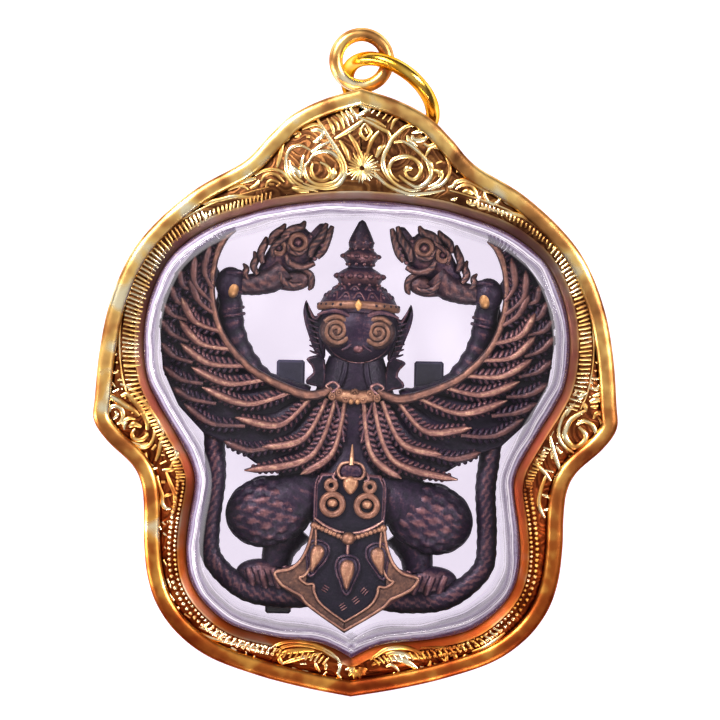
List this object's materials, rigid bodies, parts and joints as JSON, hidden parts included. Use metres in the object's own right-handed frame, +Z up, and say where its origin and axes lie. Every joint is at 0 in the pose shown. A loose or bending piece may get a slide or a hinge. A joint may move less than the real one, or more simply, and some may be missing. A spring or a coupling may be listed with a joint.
{
  "type": "garuda amulet pendant",
  "caption": "Dark cast garuda gripping two nagas, seen from its feathered back, sealed in a clear capsule in an engraved gilt pendant frame with bail and jump ring.",
  "frame": {"origin": "on the floor, on the frame's middle plane, halfway between the top of the bail and the bottom tip", "axes": "+Z up through the pictured side, +Y towards the bail, +X to the right as pictured"},
  "size_m": [0.0452, 0.0582, 0.012],
  "materials": {
    "gilt": "polished and engraved gilding, darker in the cuts",
    "acrylic": "clear, polished, with a bevelled edge",
    "bronze": "dark purple-brown patina, rubbed to copper on the high places",
    "packing": "dark foam-like blocks"
  },
  "bodies": {
    "root": {"gilt_frame": "gilt", "gilt_closing_ring": "gilt", "jump_ring": "gilt", "acrylic_back_shell": "acrylic", "acrylic_front_shell": "acrylic", "garuda_figure": "bronze", "packing_block_left": "packing", "packing_block_right": "packing", "packing_block_lower": "packing"}
  },
  "joints": []
}
